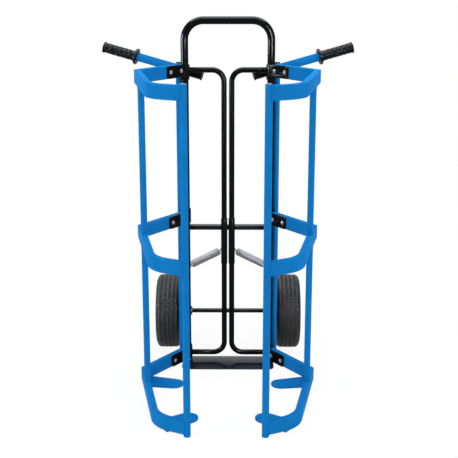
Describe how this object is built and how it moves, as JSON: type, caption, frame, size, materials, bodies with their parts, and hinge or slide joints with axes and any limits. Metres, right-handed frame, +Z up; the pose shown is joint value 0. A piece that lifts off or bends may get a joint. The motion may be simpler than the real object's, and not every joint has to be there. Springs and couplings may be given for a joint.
{
  "type": "tyre and drum trolley",
  "caption": "Upright hand trolley with spring-closed hinged wings that grip a stack of tyres or a drum, with lever handles, a toe plate and air-filled wheels.",
  "frame": {"origin": "on the floor, at the middle of the toe plate's underside, in the plane of the two frame legs", "axes": "+X to the right seen from the loading side, +Y to the back towards the wheels, +Z up"},
  "size_m": [0.8288, 0.8565, 1.1725],
  "materials": {
    "blue_paint": "semi-gloss powder coat",
    "black_paint": "gloss powder coat",
    "dark_plate": "high gloss powder coat",
    "zinc": "zinc plated",
    "dark_steel": "oiled",
    "silver_paint": "satin",
    "grey_plastic": "matt",
    "black_plastic": "matt",
    "black_rubber": "matt",
    "tyre": "matt"
  },
  "bodies": {
    "frame": {"main_frame": "black_paint", "toe_plate": "dark_plate", "cross_tube": "black_paint", "hinge_washers": "zinc", "left_wheel_bracket": "black_paint", "right_wheel_bracket": "black_paint", "axle": "black_paint", "axle_pins": "zinc", "axle_washers": "zinc", "axle_spacers": "zinc", "left_anchor_lug": "black_paint", "right_anchor_lug": "black_paint"},
    "left_arm": {"left_top_band": "blue_paint", "left_middle_band": "blue_paint", "left_bottom_band": "blue_paint", "left_front_upright": "blue_paint", "left_outer_upright": "blue_paint", "left_back_upright": "blue_paint", "left_front_cap": "grey_plastic", "left_back_cap": "black_plastic", "left_floor_tongues": "blue_paint", "left_hinge_straps": "black_paint", "left_hinge_bolts": "zinc", "left_hinge_nuts": "zinc", "left_push_bar": "black_paint", "left_push_bar_sleeve": "black_paint", "left_handle_tube": "blue_paint", "left_handle_sleeve": "black_plastic", "left_handle_grip": "black_rubber"},
    "left_wheel": {"left_tyre": "tyre", "left_rim": "silver_paint", "left_rim_bolts": "zinc", "left_hub": "silver_paint", "left_bearings": "dark_steel"},
    "left_spring_body": {"left_spring": "zinc"},
    "left_hook_body": {"left_spring_hook": "dark_steel"},
    "right_arm": {"right_top_band": "blue_paint", "right_middle_band": "blue_paint", "right_bottom_band": "blue_paint", "right_front_upright": "blue_paint", "right_outer_upright": "blue_paint", "right_back_upright": "blue_paint", "right_front_cap": "grey_plastic", "right_back_cap": "black_plastic", "right_floor_tongues": "blue_paint", "right_hinge_straps": "black_paint", "right_hinge_bolts": "zinc", "right_hinge_nuts": "zinc", "right_push_bar": "black_paint", "right_push_bar_sleeve": "black_paint", "right_handle_tube": "blue_paint", "right_handle_sleeve": "black_plastic", "right_handle_grip": "black_rubber"},
    "right_wheel": {"right_tyre": "tyre", "right_rim": "silver_paint", "right_rim_bolts": "zinc", "right_hub": "silver_paint", "right_bearings": "dark_steel"},
    "right_spring_body": {"right_spring": "zinc"},
    "right_hook_body": {"right_spring_hook": "dark_steel"}
  },
  "joints": [
    {"name": "left_arm_hinge", "type": "hinge", "parent": "frame", "child": "left_arm", "pos_m": [-0.1395, 0, 0.5], "axis": [0, 0, -1], "range_deg": [0, 22], "stiffness_Nm_per_rad": 1.2, "springref_deg": -71.62, "deforming": ["left_spring"]},
    {"name": "left_wheel_spin", "type": "hinge", "parent": "frame", "child": "left_wheel", "pos_m": [-0.211, 0.14, 0.13], "axis": [1, 0, 0], "continuous": true},
    {"name": "left_spring_swing", "type": "hinge", "parent": "frame", "child": "left_spring_body", "pos_m": [-0.131, 0.024, 0.336], "axis": [0, 0, -1], "range_deg": [0, 22.58]},
    {"name": "left_hook_slide", "type": "slide", "parent": "left_spring_body", "child": "left_hook_body", "axis": [0.9987, -0.0506, 0], "range_m": [0, 0.0096]},
    {"name": "right_arm_hinge", "type": "hinge", "parent": "frame", "child": "right_arm", "pos_m": [0.1395, 0, 0.5], "axis": [0, 0, 1], "range_deg": [0, 22], "stiffness_Nm_per_rad": 1.2, "springref_deg": -71.62, "deforming": ["right_spring"]},
    {"name": "right_wheel_spin", "type": "hinge", "parent": "frame", "child": "right_wheel", "pos_m": [0.211, 0.14, 0.13], "axis": [1, 0, 0], "continuous": true},
    {"name": "right_spring_swing", "type": "hinge", "parent": "frame", "child": "right_spring_body", "pos_m": [0.131, 0.024, 0.336], "axis": [0, 0, 1], "range_deg": [0, 22.58]},
    {"name": "right_hook_slide", "type": "slide", "parent": "right_spring_body", "child": "right_hook_body", "axis": [-0.9987, -0.0506, 0], "range_m": [0, 0.0096]}
  ],
  "couplings": [
    {"joint": "left_spring_swing", "follows": "left_arm_hinge", "ratio": 1.026},
    {"joint": "left_hook_slide", "follows": "left_arm_hinge", "m_per_rad": 0.025},
    {"joint": "right_spring_swing", "follows": "right_arm_hinge", "ratio": 1.026},
    {"joint": "right_hook_slide", "follows": "right_arm_hinge", "m_per_rad": 0.025}
  ]
}
